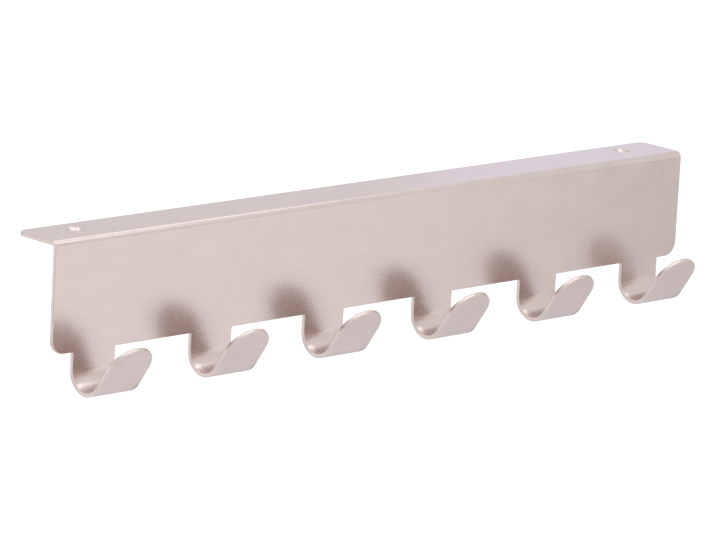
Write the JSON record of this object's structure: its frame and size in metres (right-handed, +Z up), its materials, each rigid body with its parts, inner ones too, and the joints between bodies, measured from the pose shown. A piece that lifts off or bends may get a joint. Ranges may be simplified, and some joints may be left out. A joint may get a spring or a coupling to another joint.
{
  "type": "over door hook rail",
  "caption": "One folded steel sheet: a flange for the top of a door, a plate in front of it and forward-turned coat hooks cut from the plate's lower edge.",
  "frame": {"origin": "midway between the two screw holes, on the flange's underside, which lies on the door's top", "axes": "+X along the rail to the right seen from the front, +Y back over the door's top, +Z up"},
  "size_m": [0.4, 0.0583, 0.0707],
  "materials": {
    "satin_steel": "satin, fine grain, warm grey"
  },
  "bodies": {
    "root": {"hook_rail": "satin_steel"}
  },
  "joints": []
}
